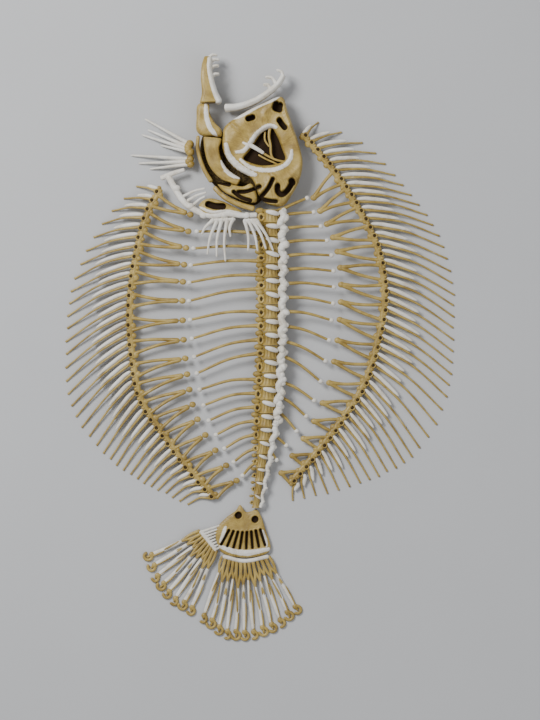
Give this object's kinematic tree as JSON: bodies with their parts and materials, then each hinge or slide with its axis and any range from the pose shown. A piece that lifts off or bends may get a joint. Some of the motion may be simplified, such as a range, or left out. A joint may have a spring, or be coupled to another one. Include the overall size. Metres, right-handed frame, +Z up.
{
  "type": "flatfish skeleton",
  "caption": "Life-size dry skeleton of a left-eyed flatfish, laid flat on its blind side with the mouth gaping and all fins spread.",
  "frame": {"origin": "under the middle of the whole outline, on the surface the skeleton lies on", "axes": "+Y from the tail to the head, +X from the belly to the back, +Z up from the blind side to the eyed side"},
  "size_m": [0.3116, 0.4666, 0.0249],
  "materials": {
    "ochre_bone": "oil-stained bone, waxy sheen",
    "pale_bone": "bleached bone, dull"
  },
  "bodies": {
    "root": {"backbone_1": "ochre_bone", "backbone_2": "ochre_bone", "backbone_3": "ochre_bone", "backbone_4": "ochre_bone", "skull": "ochre_bone", "lower_jaw": "ochre_bone", "cheek": "ochre_bone", "preopercle": "ochre_bone", "interopercle": "ochre_bone", "opercle": "ochre_bone", "subopercle": "ochre_bone", "gill_cover_blind_side": "ochre_bone", "tail_plate": "ochre_bone", "dorsal_fin_1": "pale_bone", "dorsal_fin_2": "pale_bone", "dorsal_fin_3": "pale_bone", "dorsal_fin_4": "pale_bone", "anal_fin_1": "pale_bone", "anal_fin_2": "pale_bone", "anal_fin_3": "pale_bone", "anal_fin_4": "pale_bone", "upper_jaw": "pale_bone", "shoulder_girdle": "pale_bone", "pectoral_fin_outer": "pale_bone", "pectoral_fin_inner": "pale_bone", "pelvic_fin_eyed_side": "pale_bone", "pelvic_fin_blind_side": "pale_bone", "tail_fin_main": "pale_bone", "tail_fin_lobe": "pale_bone"}
  },
  "joints": []
}
